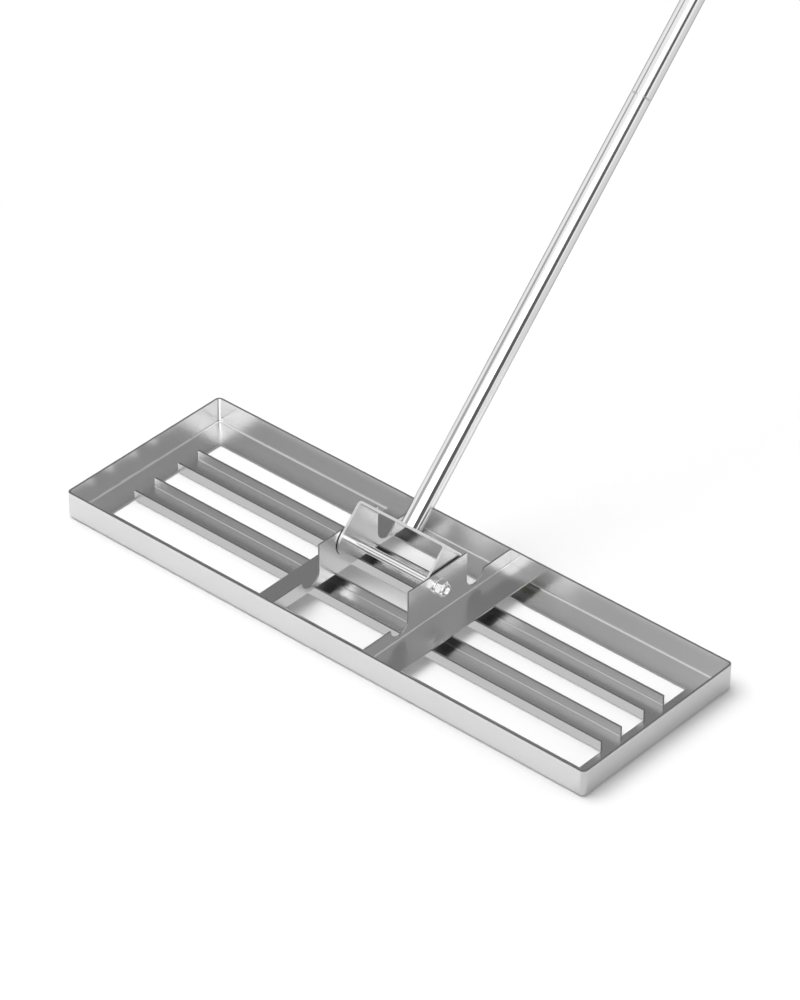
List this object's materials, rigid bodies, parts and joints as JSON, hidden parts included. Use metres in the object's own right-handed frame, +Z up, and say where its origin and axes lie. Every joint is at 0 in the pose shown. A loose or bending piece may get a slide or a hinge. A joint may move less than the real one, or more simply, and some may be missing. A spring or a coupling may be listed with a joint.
{
  "type": "lawn leveling rake",
  "caption": "Lawn leveling rake: a shallow slotted steel pan with turned-up bar edges, crossed by eared rails, and a long tube handle that tilts on a pivot bolt.",
  "frame": {"origin": "centre of the pan's underside, on the ground", "axes": "+X along the pan to the right as seen from its front, +Y from the front to the back, where the handle leans at rest, +Z up"},
  "size_m": [0.762, 1.3288, 1.2553],
  "materials": {
    "pan_steel": "polished stainless sheet",
    "rail_steel": "polished stainless sheet",
    "bracket_steel": "polished stainless strip",
    "tube_steel": "mirror-polished stainless tube",
    "weld_steel": "bare weld beads",
    "hardware_steel": "turned and zinc plated",
    "insert_aluminium": "turned",
    "nylon_white": "natural nylon",
    "grip_rubber": "moulded, matt",
    "cap_plastic": "fine moulded grain"
  },
  "bodies": {
    "rake_head": {"grading_pan": "pan_steel", "left_saddle_rail": "rail_steel", "right_saddle_rail": "rail_steel", "rail_welds": "weld_steel", "pivot_bolt": "hardware_steel", "bolt_head_washer": "hardware_steel", "nut_washer": "hardware_steel", "friction_washers": "nylon_white", "lock_nut": "hardware_steel", "lock_nut_ring": "nylon_white"},
    "handle": {"tilt_bracket": "bracket_steel", "bracket_stud": "hardware_steel", "lower_tube": "tube_steel", "lower_tube_socket": "insert_aluminium", "lower_tube_spigot": "insert_aluminium", "middle_tube": "tube_steel", "middle_tube_socket": "insert_aluminium", "middle_tube_spigot": "insert_aluminium", "upper_tube": "tube_steel", "upper_tube_socket": "insert_aluminium", "grip_sleeve": "grip_rubber", "end_cap": "cap_plastic"}
  },
  "joints": [
    {"name": "handle_tilt", "type": "hinge", "parent": "rake_head", "child": "handle", "pos_m": [0, 0, 0.0535], "axis": [1, 0, 0], "range_deg": [-46, 136]}
  ]
}
